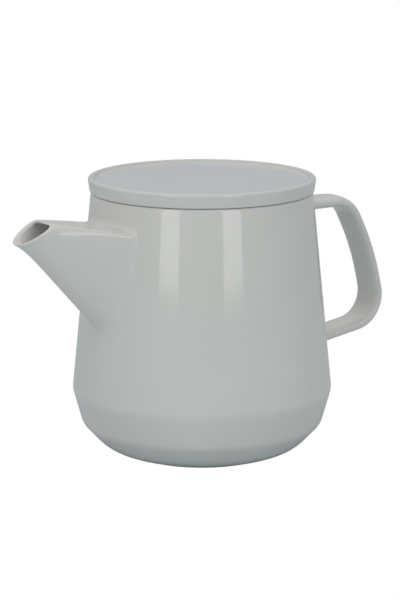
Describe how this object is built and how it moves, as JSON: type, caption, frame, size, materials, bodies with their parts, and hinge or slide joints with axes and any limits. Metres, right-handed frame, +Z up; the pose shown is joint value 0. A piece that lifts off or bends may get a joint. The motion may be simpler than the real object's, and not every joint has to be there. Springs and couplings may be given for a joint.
{
  "type": "teapot infuser",
  "caption": "Glazed porcelain teapot with a dished lid, a three-sided spout, a strap handle and a hanging stainless infuser basket.",
  "frame": {"origin": "on the pot's axis in the plane of the foot ring, where the pot stands on the table", "axes": "+Z up along the pot's axis, -X towards the spout, +X towards the handle, Y across"},
  "size_m": [0.219, 0.1306, 0.1398],
  "materials": {
    "glaze": "glossy pale grey glaze",
    "steel_sheet": "satin stainless sheet",
    "steel_wire": "bright stainless wire"
  },
  "bodies": {
    "pot": {"pot_body": "glaze", "spout": "glaze", "handle": "glaze"},
    "infuser": {"infuser_collar": "steel_sheet", "infuser_wall": "steel_sheet", "infuser_base": "steel_sheet", "lift_loop_left": "steel_wire", "lift_loop_right": "steel_wire"},
    "cover": {"lid": "glaze"}
  },
  "joints": [
    {"name": "infuser_lift", "type": "slide", "parent": "pot", "child": "infuser", "axis": [0, 0, 1], "range_m": [0, 0.1]},
    {"name": "lid_lift", "type": "slide", "parent": "infuser", "child": "cover", "axis": [0, 0, 1], "range_m": [0, 0.06]}
  ]
}
